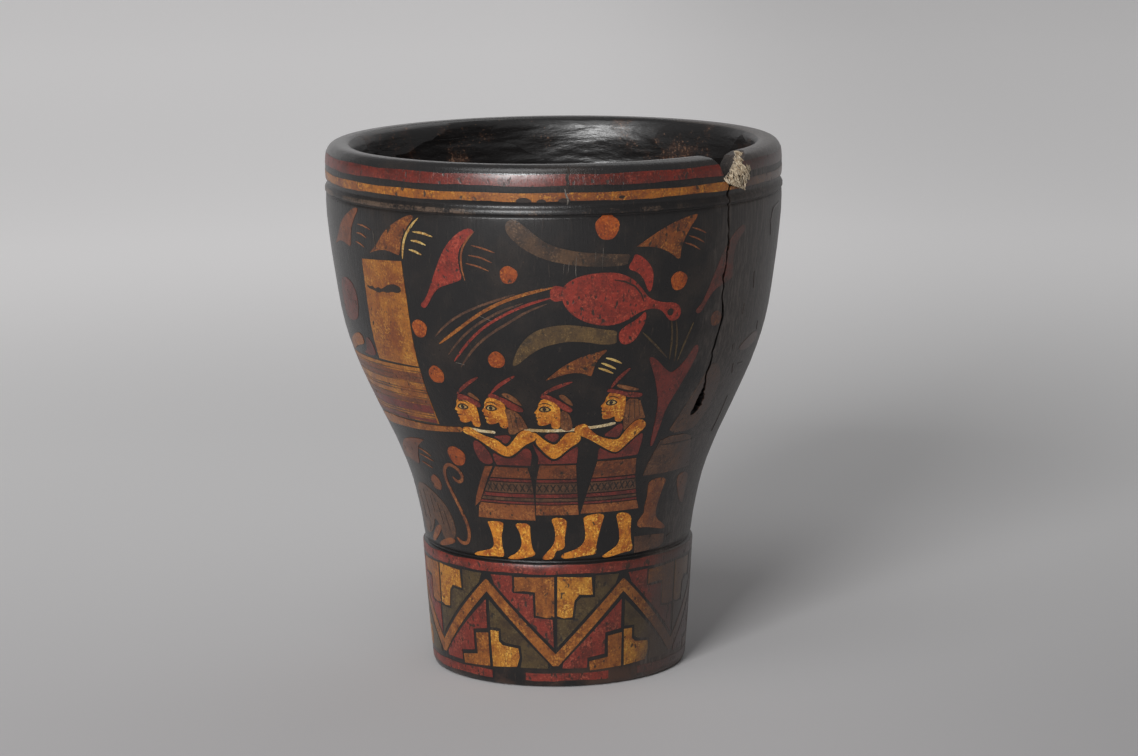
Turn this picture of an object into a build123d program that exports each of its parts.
from build123d import *
import math
import os

# An Inca kero: a carved wooden beaker, dressed with sheets of coloured resin that lie in shallow
# sunk zones round the rim, the wall and the foot.
#
# Frame: the origin is the centre of the foot's underside, +Z is up, and the picture faces -Y.
# Millimetres throughout. An azimuth is an angle round the cup in degrees: 0 at the front, growing
# to the right (+X). A corner of an outline is (azimuth, height), or (azimuth, height, bow), where
# bow is how far the side to the next corner bulges out of the outline, in mm. Corners run
# anticlockwise as seen from outside.
#
# The picture fills the wall between the foot's line and the rim's ridge. Its heights are drawn for
# that field as it is here, and level() fits them to the field when a size changes.

# Overall sizes
CUP_HEIGHT = 186.0
RIM_RADIUS = 80.0

# Foot
FOOT_BASE_RADIUS = 45.1
FOOT_TOP_RADIUS = 48.0
FOOT_HEIGHT = 44.0
BASE_CHAMFER = 1.5
FOOT_LINE_DEPTH = 0.8
FOOT_LINE_HEIGHT = 1.5

# Flaring wall between the foot and the rim, its heights drawn for the field
DRAWN_FIELD = (45.5, 169.4)
WAIST_RADIUS = 47.5
SWELL_RADIUS = 51.0
SWELL_HEIGHT = 66.0
SHOULDER_DRAW_IN = 6.4
SHOULDER_HEIGHT = 120.5
NECK_DRAW_IN = 1.4
NECK_HEIGHT = 149.0

# Rim band, measured down from the top
RIM_BAND_HEIGHT = 14.0
RIM_RIDGE_HEIGHT = 2.0
RIM_ZONE_TOP = 3.2
LIP_ROUNDING = 3.0

# Hollow
RIM_WALL = 10.0
SHOULDER_WALL = 11.0
FLOOR_THICKNESS = 40.0
HOLLOW_FLOOR_RADIUS = 33.0

# Resin sheets
ZONE_DEPTH = 0.6
SEAT_CLEARANCE = 0.05
SHEET_THICKNESS = ZONE_DEPTH - SEAT_CLEARANCE
JOINT_LINE = 0.8
BAND_JOINT = 0.4
FLAT_JOINT = 0.4
RED_RIM_BAND_WIDTH = 3.5
YELLOW_RIM_BAND_WIDTH = 3.0
RIM_BAND_LINE = 2.3
RED_RIM_BAND_GAP = 11.4
YELLOW_RIM_BAND_GAP = 7.2
FOOT_RED_BAND_WIDTH = 3.2

# Foot pattern, with azimuths from the valley or peak of the zigzag that a field stands on
FOOT_ZONE_BOTTOM = 6.0
PATTERN_EDGE = 0.6
PERIODS = 6
FIRST_VALLEY_AZIMUTH = -1.7
ZIGZAG_WIDTH = 5.2
PEAK_CLEARANCE = 1.5
STEP_AZIMUTHS = (8.1, 17.0)
STEP_HEIGHTS = (9.2, 4.6)
FIELD_AZIMUTH = 27.6
BAND_LENGTHS = 24

# Chip in the rim and the split that runs down from it
NOTCH_AZIMUTH = 49.0
NOTCH_FLOOR = 11.0
NOTCH_FLOOR_WIDTH = 9.0
NOTCH_TOP_WIDTH = 19.0
NOTCH_ROUNDING = 4.0
SPLIT_WIDTH = 0.9
SPLIT_LINE = [(47.8, 177.0), (47.2, 158.0), (48.7, 130.0), (47.2, 116.0)]
SPLIT_END = [(48.9, 101.0), (49.6, 98.0), (46.6, 95.0), (47.0, 100.0)]

# Wad of plant fibre in the chip
PLUG_CLEARANCE = 0.3
PLUG_LENGTH = 8.6

# Picture on the wall: discs as (azimuth, height, radius)
DISCS = [(-37.3, 129.3, 3.2), (-11.3, 149.6, 3.1), (12.7, 164.0, 3.6)]
RED_FLOWER = [(-35.5, 137.0), (-30.0, 143.4), (-22.6, 147.0, -1.2), (-19.3, 164.5), (-25.0, 161.6),
              (-30.0, 153.0)]
ORANGE_FLOWERS = [
    [(-52.0, 154.0), (-40.3, 153.2, -1.4), (-35.0, 168.0), (-42.0, 165.0)],
    [(31.8, 152.8, -1.6), (37.2, 167.0), (26.0, 163.5), (20.2, 158.3, -0.8)],
    [(9.3, 114.3, -0.9), (13.3, 123.2), (5.0, 120.5), (-2.5, 113.0)],
]
LEFT_FLOWER_TURN = -20.5
BIRD_BODY = [(2.3, 142.5, 1.8), (12.0, 132.2, 1.6), (22.4, 137.3), (27.4, 135.6), (29.6, 132.2),
             (33.2, 132.6), (34.2, 135.2), (32.2, 137.8), (28.4, 138.2), (23.4, 141.0), (17.6, 147.4, 1.9)]
BIRD_SHOULDERS = [
    [(18.4, 151.2), (22.9, 147.8), (24.6, 144.6), (24.4, 151.0), (20.4, 155.6)],
    [(17.5, 125.0), (22.8, 129.0), (23.4, 135.2), (19.8, 132.6), (16.4, 128.0)],
]
BIRD_WINGS = [
    [(-10.5, 164.5), (-1.3, 155.6), (-0.9, 159.8), (-8.6, 168.0)],
    [(-0.8, 155.2), (7.9, 152.4), (8.2, 156.6), (-0.4, 159.4)],
    [(8.4, 152.3), (17.4, 151.9), (19.0, 155.4), (8.7, 156.5)],
    [(-11.0, 118.6), (-3.4, 123.8), (-3.0, 131.6), (-8.6, 125.6)],
    [(-3.0, 124.0), (6.6, 126.6), (6.6, 131.0), (-2.6, 131.8)],
    [(7.1, 126.6), (15.6, 125.2), (15.6, 129.4), (7.1, 130.9)],
]
LITTER_PANEL = [
    [(-57.0, 116.0), (-49.0, 115.8), (-49.0, 151.6), (-56.4, 151.0)],
    [(-48.6, 115.8), (-40.6, 115.6), (-41.0, 152.0), (-48.6, 151.6)],
]
LITTER_BASE = [
    [(-78.0, 97.4), (-65.6, 97.4), (-65.6, 114.6), (-78.0, 114.6)],
    [(-65.2, 97.4), (-52.8, 97.4), (-52.8, 114.6), (-65.2, 114.6)],
    [(-52.4, 97.4), (-40.0, 97.4), (-40.0, 114.6), (-52.4, 114.6)],
]
LITTER_POLE = [
    [(-60.0, 92.4), (-46.2, 92.4), (-46.2, 96.2), (-60.0, 96.2)],
    [(-45.8, 92.4), (-34.0, 92.4), (-34.0, 96.2), (-45.8, 96.2)],
]
PLANT = [
    [(32.1, 86.0), (34.0, 86.0), (34.7, 101.0), (31.2, 101.0)],
    [(31.3, 101.6), (34.7, 101.6), (38.6, 111.0), (40.8, 121.0), (33.2, 113.0), (25.5, 119.0), (29.2, 111.0)],
]

# Litter bearers: how far each stands round the cup, and outlines about the middle of a face
BEARERS = [(-18.5, 0.0), (-2.5, 0.0), (16.6, 1.0)]
REAR_BEARER = (-28.6, 0.0)
HEAD = [(-2.2, 95.4), (3.2, 95.4), (3.6, 101.6), (-2.6, 102.9), (-4.2, 98.6)]
HEADBAND = [(-3.0, 103.7), (4.6, 102.4), (5.0, 105.0), (-2.2, 107.2)]
HAIR = [(4.0, 95.4), (7.6, 96.6), (7.0, 101.4), (4.0, 101.4)]
ARM = [(-5.2, 92.6), (1.0, 83.4), (8.8, 92.0), (6.2, 94.2), (1.2, 87.8), (-2.8, 94.4)]
TUNIC = [(-4.6, 81.8), (9.6, 81.8), (9.6, 91.2), (1.0, 82.5), (-4.6, 90.6)]
CHEST = [(1.2, 89.2), (4.6, 94.2), (-1.7, 94.2)]
REAR_TUNIC = [(-28.6, 81.8), (-24.0, 81.8), (-24.8, 93.0), (-27.4, 93.0)]
SKIRTS = [
    [(-31.4, 66.6), (-20.2, 66.6), (-17.4, 80.8), (-25.6, 80.8)],
    [(-19.8, 66.6), (-9.2, 66.6), (-9.2, 80.8), (-17.0, 80.8)],
    [(-7.6, 66.6), (7.6, 66.6), (6.6, 80.8), (-6.6, 80.8)],
    [(10.0, 66.6), (21.0, 66.6), (21.0, 81.8), (13.8, 81.8)],
    [(21.4, 66.6), (32.0, 66.6), (28.0, 81.8), (21.4, 81.8)],
]
HEM_BOTTOM = 62.2
HEM_TOP = 65.8
HEM_SPANS = [(-32.4, -20.2), (-19.8, -9.4), (-8.2, 8.2), (9.6, 21.0), (21.4, 33.0)]
LEG = [(-7.2, 46.8), (2.6, 46.8), (3.6, 61.6), (-2.8, 61.6), (-2.4, 50.4)]
LEG_AZIMUTHS = (-25.0, -14.0, 0.6, 14.2, 26.6)

# Standing figure beside the plant, and the crouching animal under the litter
FIGURE_SKIRT = [
    [(34.6, 75.0), (45.8, 75.0), (43.8, 88.6), (37.8, 88.6)],
    [(46.2, 75.0), (57.0, 75.0), (50.0, 88.6), (44.2, 88.6)],
]
FIGURE_LEG = [
    [(34.6, 56.4), (49.4, 53.8), (41.2, 60.2), (42.4, 65.4), (36.0, 65.4)],
    [(36.2, 66.6), (43.0, 66.6), (44.8, 74.2), (36.4, 74.2)],
]
FIGURE_BLOCK = [(33.6, 46.6), (49.6, 46.6), (49.6, 52.6), (33.6, 52.6)]
MONKEY = [
    [(-67.6, 50.2), (-63.4, 50.2), (-60.6, 57.6), (-57.2, 59.2), (-57.2, 65.2), (-62.6, 64.8), (-67.4, 60.6)],
    [(-56.8, 59.2), (-51.4, 57.8), (-50.2, 50.2), (-46.8, 50.2), (-46.8, 58.6), (-50.6, 63.6), (-56.8, 65.2)],
    [(-74.6, 47.0), (-64.0, 47.0), (-64.0, 49.8), (-72.0, 49.8)],
    [(-57.0, 47.0), (-47.6, 47.0), (-47.6, 49.8), (-54.0, 49.8)],
]

# Where the wall cutters start, from the axis, and how far they reach past the rim
CUTTER_START = 20.0
CUTTER_OVERSHOOT = 30.0
NOTCH_OVERSHOOT = 1.0

# Heights and radii that follow from the sizes above
CUTTER_LENGTH = RIM_RADIUS + CUTTER_OVERSHOOT - CUTTER_START
RIM_ZONE = (CUP_HEIGHT - RIM_BAND_HEIGHT, CUP_HEIGHT - RIM_ZONE_TOP)
RIDGE_BOTTOM = CUP_HEIGHT - RIM_BAND_HEIGHT - RIM_RIDGE_HEIGHT - ZONE_DEPTH
WAIST_HEIGHT = FOOT_HEIGHT + FOOT_LINE_HEIGHT
SHOULDER_RADIUS = RIM_RADIUS - SHOULDER_DRAW_IN
NECK_RADIUS = RIM_RADIUS - NECK_DRAW_IN
PATTERN_BOTTOM = FOOT_ZONE_BOTTOM + PATTERN_EDGE
PATTERN_TOP = FOOT_HEIGHT - BAND_JOINT - FOOT_RED_BAND_WIDTH - JOINT_LINE
ZIGZAG_HEIGHT = PATTERN_TOP - PATTERN_BOTTOM - ZIGZAG_WIDTH - 2 * PEAK_CLEARANCE


def level(drawn):
    """Height on the cup of a height that is drawn for the field of the picture."""
    low, high = DRAWN_FIELD
    return WAIST_HEIGHT + (drawn - low) * (RIDGE_BOTTOM - WAIST_HEIGHT) / (high - low)


def on_field(corners):
    """An outline of the picture with its drawn heights fitted to the field."""
    return [(corner[0], level(corner[1]), *corner[2:]) for corner in corners]


def wall_corners(inset=0.0):
    """Outer wall between foot and ridge as (radius, height) corners, drawn in by inset."""
    corners = [
        (WAIST_RADIUS, WAIST_HEIGHT),
        (SWELL_RADIUS, level(SWELL_HEIGHT)),
        (SHOULDER_RADIUS, level(SHOULDER_HEIGHT)),
        (NECK_RADIUS, level(NECK_HEIGHT)),
        (RIM_RADIUS, RIDGE_BOTTOM),
    ]
    return [(radius - inset, height) for radius, height in corners]


def wall_radius(height):
    """Radius of the finished outer face at a height."""
    foot = [(FOOT_BASE_RADIUS, 0.0), (FOOT_TOP_RADIUS, FOOT_HEIGHT)]
    corners = foot + wall_corners() + [(RIM_RADIUS, CUP_HEIGHT)]
    for (low_radius, low), (high_radius, high) in zip(corners, corners[1:]):
        if height <= high:
            return low_radius + (high_radius - low_radius) * (height - low) / (high - low)
    return RIM_RADIUS


def wall_slope(height):
    """Angle in degrees by which the outer face leans out from upright at a height."""
    step = 0.5
    return math.degrees(math.atan2(wall_radius(height + step) - wall_radius(height - step), 2 * step))


def revolved(points):
    """Solid of revolution about the cup's axis, its seam at the back."""
    face = make_face(Polyline(*points, close=True))
    return Rot(0, 0, 90) * revolve(Plane.XZ * face, Axis.Z)


def upright_plane(azimuth):
    """Upright plane near the axis that looks out at an azimuth, its local x to the right."""
    turn = math.radians(azimuth)
    out = Vector(math.sin(turn), -math.cos(turn), 0)
    return Plane(origin=out * CUTTER_START, x_dir=(math.cos(turn), math.sin(turn), 0), z_dir=out)


def outline_face(corners, azimuth, height=0.0, stretch=1.0):
    """Face through the corners as seen from an azimuth, its origin at a height."""
    points = []
    for corner in corners:
        across = wall_radius(corner[1]) * math.sin(math.radians(corner[0] - azimuth))
        points.append((across, (corner[1] - height) * stretch))
    sides = []
    for i, corner in enumerate(corners):
        start = points[i]
        end = points[(i + 1) % len(points)]
        bow = corner[2] if len(corner) > 2 else 0.0
        sides.append(SagittaArc(start, end, -bow) if bow else Line(start, end))
    return make_face(sides)


def middle(corners):
    """Azimuth and height halfway across the corners."""
    azimuths = [corner[0] for corner in corners]
    heights = [corner[1] for corner in corners]
    return (min(azimuths) + max(azimuths)) / 2, (min(heights) + max(heights)) / 2


def cutter(face, azimuth):
    """Bar that carries the face outwards through the wall."""
    return extrude(upright_plane(azimuth) * face, CUTTER_LENGTH)


def wrapped_sheet(corners, skin):
    """Resin sheet that follows the wall: the part of the skin behind the outline."""
    azimuth = middle(corners)[0]
    return skin & cutter(outline_face(corners, azimuth), azimuth)


def seat_plane(azimuth, height):
    """Plane that lies on the floor of a sunk zone, clear of it, and touches it along one upright line."""
    lean = math.radians(wall_slope(height))
    turn = math.radians(azimuth)
    out = Vector(math.sin(turn), -math.cos(turn), 0)
    normal = out * math.cos(lean) - Vector(0, 0, math.sin(lean))
    floor = out * (wall_radius(height) - ZONE_DEPTH) + Vector(0, 0, height)
    return Plane(origin=floor + normal * SEAT_CLEARANCE, x_dir=(math.cos(turn), math.sin(turn), 0),
                 z_dir=normal)


def flat_sheet(corners):
    """Small flat resin sheet, seated on the floor of its zone."""
    azimuth, height = middle(corners)
    stretch = 1 / math.cos(math.radians(wall_slope(height)))
    face = outline_face(corners, azimuth, height, stretch)
    return extrude(seat_plane(azimuth, height) * face, SHEET_THICKNESS)


def disc(azimuth, height, radius):
    """Small round resin sheet, seated on the floor of its zone."""
    return extrude(seat_plane(azimuth, height) * Circle(radius), SHEET_THICKNESS)


def turned(corners, azimuth, rise=0.0):
    """The same outline further round the cup, and higher or lower."""
    return [(corner[0] + azimuth, corner[1] + rise, *corner[2:]) for corner in corners]


def mirrored(corners):
    """The same outline with left and right exchanged about azimuth 0."""
    return [(-azimuth, height) for azimuth, height in reversed(corners)]


def upended(corners):
    """The same outline with top and bottom exchanged within the foot pattern."""
    return [(azimuth, PATTERN_BOTTOM + PATTERN_TOP - height) for azimuth, height in reversed(corners)]


def body_profile():
    """Half section of the wooden cup, from the axis under the foot, up the outside and down the hollow."""
    foot_zone = wall_radius(FOOT_ZONE_BOTTOM)
    foot_top = FOOT_TOP_RADIUS - ZONE_DEPTH
    rim_zone = RIM_RADIUS - ZONE_DEPTH
    lip = LIP_ROUNDING * math.sin(math.pi / 4)
    lip_centre = (RIM_RADIUS - LIP_ROUNDING, CUP_HEIGHT - LIP_ROUNDING)
    mouth = RIM_RADIUS - RIM_WALL
    return [
        (0, 0),
        (FOOT_BASE_RADIUS - BASE_CHAMFER, 0),
        (wall_radius(BASE_CHAMFER), BASE_CHAMFER),
        (foot_zone, FOOT_ZONE_BOTTOM),
        (foot_zone - ZONE_DEPTH, FOOT_ZONE_BOTTOM),
        (foot_top, FOOT_HEIGHT),
        (foot_top - FOOT_LINE_DEPTH, FOOT_HEIGHT + FOOT_LINE_HEIGHT / 2),
        *wall_corners(ZONE_DEPTH),
        (RIM_RADIUS, RIM_ZONE[0] - ZONE_DEPTH),
        (rim_zone, RIM_ZONE[0]),
        (rim_zone, RIM_ZONE[1]),
        (RIM_RADIUS, RIM_ZONE[1]),
        (lip_centre[0] + lip, lip_centre[1] + lip),
        (lip_centre[0], CUP_HEIGHT),
        (mouth, CUP_HEIGHT),
        (SHOULDER_RADIUS - SHOULDER_WALL, level(SHOULDER_HEIGHT)),
        (HOLLOW_FLOOR_RADIUS, FLOOR_THICKNESS),
        (0, FLOOR_THICKNESS),
    ]


def notch_cutter():
    """Chip in the rim: a rounded gap that widens upwards between two worn corners."""
    floor = CUP_HEIGHT - NOTCH_FLOOR
    half_floor = NOTCH_FLOOR_WIDTH / 2
    half_top = NOTCH_TOP_WIDTH / 2
    rounding = NOTCH_ROUNDING
    above = CUP_HEIGHT + NOTCH_OVERSHOOT
    left = [(-half_floor, floor + rounding), (-half_top + rounding, CUP_HEIGHT - rounding)]
    right = [(-left[1][0], left[1][1]), (half_floor, floor + rounding)]
    sides = [
        Line((half_top, above), (-half_top, above)),
        Line((-half_top, above), (-half_top, CUP_HEIGHT)),
        TangentArc((-half_top, CUP_HEIGHT), left[1], tangent=(1, 0)),
        Line(left[1], left[0]),
        ThreePointArc(left[0], (0, floor), right[1]),
        Line(right[1], right[0]),
        TangentArc((half_top, CUP_HEIGHT), right[0], tangent=(-1, 0)),
        Line((half_top, CUP_HEIGHT), (half_top, above)),
    ]
    return cutter(make_face(sides), NOTCH_AZIMUTH)


def split_cutter():
    """The split: a thin crooked gap from the notch down the wall, open wider at its end."""
    half = SPLIT_WIDTH / 2
    centre = NOTCH_AZIMUTH
    line = [(wall_radius(z) * math.sin(math.radians(a - centre)), z) for a, z in on_field(SPLIT_LINE)]
    end = [(wall_radius(z) * math.sin(math.radians(a - centre)), z) for a, z in on_field(SPLIT_END)]
    corners = [(x - half, z) for x, z in line]
    corners += [end[3], end[2], end[1], end[0]]
    corners += [(x + half, z) for x, z in reversed(line)]
    return cutter(make_face(Polyline(*corners, close=True)), centre)


def cup_body():
    """The carved wooden cup, with the notch and the split taken out of its wall."""
    return revolved(body_profile()).cut(notch_cutter(), split_cutter())


def rim_band(top, width, gap):
    """Resin strip round the rim, with a gap where the chip took it away."""
    inside = RIM_RADIUS - SHEET_THICKNESS
    section = [(inside, top - width), (RIM_RADIUS, top - width), (RIM_RADIUS, top), (inside, top)]
    half = math.degrees(gap / 2 / RIM_RADIUS)
    face = Plane.XZ * make_face(Polyline(*section, close=True))
    return Rot(0, 0, NOTCH_AZIMUTH + half - 90) * revolve(face, Axis.Z, 360 - 2 * half)


def rim_bands():
    """The red strip and, below it, the yellow one."""
    red_top = RIM_ZONE[1] - BAND_JOINT
    yellow_top = red_top - RED_RIM_BAND_WIDTH - RIM_BAND_LINE
    return {
        "rim_red_band": rim_band(red_top, RED_RIM_BAND_WIDTH, RED_RIM_BAND_GAP),
        "rim_yellow_band": rim_band(yellow_top, YELLOW_RIM_BAND_WIDTH, YELLOW_RIM_BAND_GAP),
    }


def foot_band():
    """Red strip along the top of the foot, laid in short lengths."""
    top = FOOT_HEIGHT - BAND_JOINT
    bottom = top - FOOT_RED_BAND_WIDTH
    step = 360 / BAND_LENGTHS
    length = [(0, bottom), (step - FLAT_JOINT, bottom), (step - FLAT_JOINT, top), (0, top)]
    return [flat_sheet(turned(length, i * step)) for i in range(BAND_LENGTHS)]


def zigzag_height(azimuth, offset):
    """Height of the zigzag's middle line, moved by offset, at an azimuth from a valley."""
    rise = ZIGZAG_HEIGHT * azimuth / (180 / PERIODS)
    return PATTERN_BOTTOM + PEAK_CLEARANCE + ZIGZAG_WIDTH / 2 + rise + offset


def zigzag_leg():
    """Two flats that climb from a valley at azimuth 0 to the next peak."""
    half = 90 / PERIODS
    edge = ZIGZAG_WIDTH / 2
    flats = []
    for start, end in [(FLAT_JOINT, half - FLAT_JOINT / 2), (half + FLAT_JOINT / 2, 2 * half - FLAT_JOINT)]:
        low = [(start, zigzag_height(start, -edge)), (end, zigzag_height(end, -edge))]
        high = [(end, zigzag_height(end, edge)), (start, zigzag_height(start, edge))]
        flats.append(low + high)
    return flats


def field_half():
    """Three flats between the zigzag and the stepped block, right of a valley at azimuth 0."""
    top = PATTERN_TOP
    joint = JOINT_LINE / 2
    clear = ZIGZAG_WIDTH / 2 + JOINT_LINE * math.sqrt(2)
    first = top - sum(STEP_HEIGHTS) - JOINT_LINE
    second = top - STEP_HEIGHTS[1] - JOINT_LINE
    near, far = STEP_AZIMUTHS
    spans = [(joint, near, first), (near + joint, far, second), (far + joint, FIELD_AZIMUTH, top)]
    flats = []
    for start, end, height in spans:
        low = [(start, zigzag_height(start, clear)), (end, zigzag_height(end, clear))]
        flats.append(low + [(end, height), (start, height)])
    return flats


def step_block():
    """The stepped block of two steps that hangs from the top right of a valley at azimuth 0."""
    top = PATTERN_TOP
    start = JOINT_LINE / 2
    short, long = [end - start for end in STEP_AZIMUTHS]
    upper = top - STEP_HEIGHTS[1]
    lower = upper - STEP_HEIGHTS[0]
    return [(start, lower), (short, lower), (short, upper), (long, upper), (long, top), (start, top)]


def repeated(outlines):
    """Flat sheets at every period: the outlines above the zigzag, and upended below it."""
    sheets = []
    for i in range(PERIODS):
        valley = FIRST_VALLEY_AZIMUTH + i * 360 / PERIODS
        peak = valley + 180 / PERIODS
        for outline in outlines:
            sheets.append(flat_sheet(turned(outline, valley)))
            sheets.append(flat_sheet(turned(upended(outline), peak)))
    return sheets


def foot_pattern():
    """Zigzag, triangular fields and stepped blocks round the foot."""
    legs = zigzag_leg()
    zigzag = []
    for i in range(PERIODS):
        valley = FIRST_VALLEY_AZIMUTH + i * 360 / PERIODS
        zigzag += [flat_sheet(turned(leg, valley)) for leg in legs]
        zigzag += [flat_sheet(turned(mirrored(leg), valley)) for leg in legs]
    right_fields = field_half()
    left_fields = [mirrored(outline) for outline in right_fields]
    return {
        "foot_red_band": foot_band(),
        "foot_zigzag": zigzag,
        "foot_green_fields": repeated(right_fields),
        "foot_red_fields": repeated(left_fields),
        "foot_yellow_steps": repeated([step_block()]),
        "foot_amber_steps": repeated([mirrored(step_block())]),
    }


def wall_skin():
    """Thin shell in which the wrapped sheets of the picture lie."""
    inside = wall_corners(SHEET_THICKNESS)
    return revolved(inside + list(reversed(wall_corners())))


def flats(outlines):
    """Flat sheets of the picture, one for each outline."""
    return [flat_sheet(on_field(outline)) for outline in outlines]


def bird_and_flowers():
    """The upper half of the picture: the bird in flight, fan flowers and round discs."""
    return {
        "discs": [disc(azimuth, level(height), radius) for azimuth, height, radius in DISCS],
        "orange_flowers": flats(ORANGE_FLOWERS),
        "red_flowers": flats([RED_FLOWER, turned(ORANGE_FLOWERS[0], LEFT_FLOWER_TURN)]),
        "bird_body": wrapped_sheet(on_field(BIRD_BODY), wall_skin()),
        "bird_shoulders": flats(BIRD_SHOULDERS),
        "bird_wings": flats(BIRD_WINGS),
        "plant": flats(PLANT),
        "litter_panel": flats(LITTER_PANEL),
        "litter_base": flats(LITTER_BASE),
        "litter_pole": flats(LITTER_POLE),
    }


def placed(outline, bearers):
    """Flat sheets of one outline, one for each bearer."""
    return flats([turned(outline, azimuth, rise) for azimuth, rise in bearers])


def hems():
    """The lower strips of the skirts, below the swell of the wall."""
    outlines = []
    for left, right in HEM_SPANS:
        outlines.append([(left, HEM_BOTTOM), (right, HEM_BOTTOM), (right, HEM_TOP), (left, HEM_TOP)])
    return flats(outlines)


def people():
    """The lower half of the picture: bearers, standing figure and animal."""
    everyone = [REAR_BEARER] + BEARERS
    return {
        "bearer_heads": placed(HEAD, everyone),
        "bearer_headbands": placed(HEADBAND, everyone),
        "bearer_hair": placed(HAIR, BEARERS),
        "bearer_arms": placed(ARM, BEARERS),
        "bearer_tunics": placed(TUNIC, BEARERS) + placed(CHEST, BEARERS) + flats([REAR_TUNIC]),
        "bearer_skirts": flats(SKIRTS),
        "skirt_hems": hems(),
        "bearer_legs": flats([turned(LEG, azimuth) for azimuth in LEG_AZIMUTHS]),
        "figure_skirt": flats(FIGURE_SKIRT),
        "figure_leg": flats(FIGURE_LEG),
        "figure_block": flats([FIGURE_BLOCK]),
        "monkey": flats(MONKEY),
    }


def fibre_plug():
    """Wad of plant fibre that lies in the rounded floor of the chip."""
    half = NOTCH_FLOOR_WIDTH / 2
    floor_radius = (half ** 2 + NOTCH_ROUNDING ** 2) / (2 * NOTCH_ROUNDING)
    height = CUP_HEIGHT - NOTCH_FLOOR + floor_radius
    radius = floor_radius - PLUG_CLEARANCE
    out = upright_plane(NOTCH_AZIMUTH).z_dir
    middle_radius = RIM_RADIUS - RIM_WALL / 2
    plane = Plane(origin=out * middle_radius + Vector(0, 0, height), z_dir=out)
    return plane * Cylinder(radius, PLUG_LENGTH)


def sub_parts():
    """Every sub-part by name."""
    parts = {"cup_body": cup_body(), "fibre_plug": fibre_plug()}
    parts.update(rim_bands())
    parts.update(foot_pattern())
    parts.update(bird_and_flowers())
    parts.update(people())
    return parts


def main():
    """Write one STEP file for each sub-part."""
    os.makedirs("parts", exist_ok=True)
    for name, shape in sub_parts().items():
        if isinstance(shape, list):
            shape = Compound(children=shape)
        export_step(shape, f"parts/{name}.step")


if __name__ == "__main__":
    main()
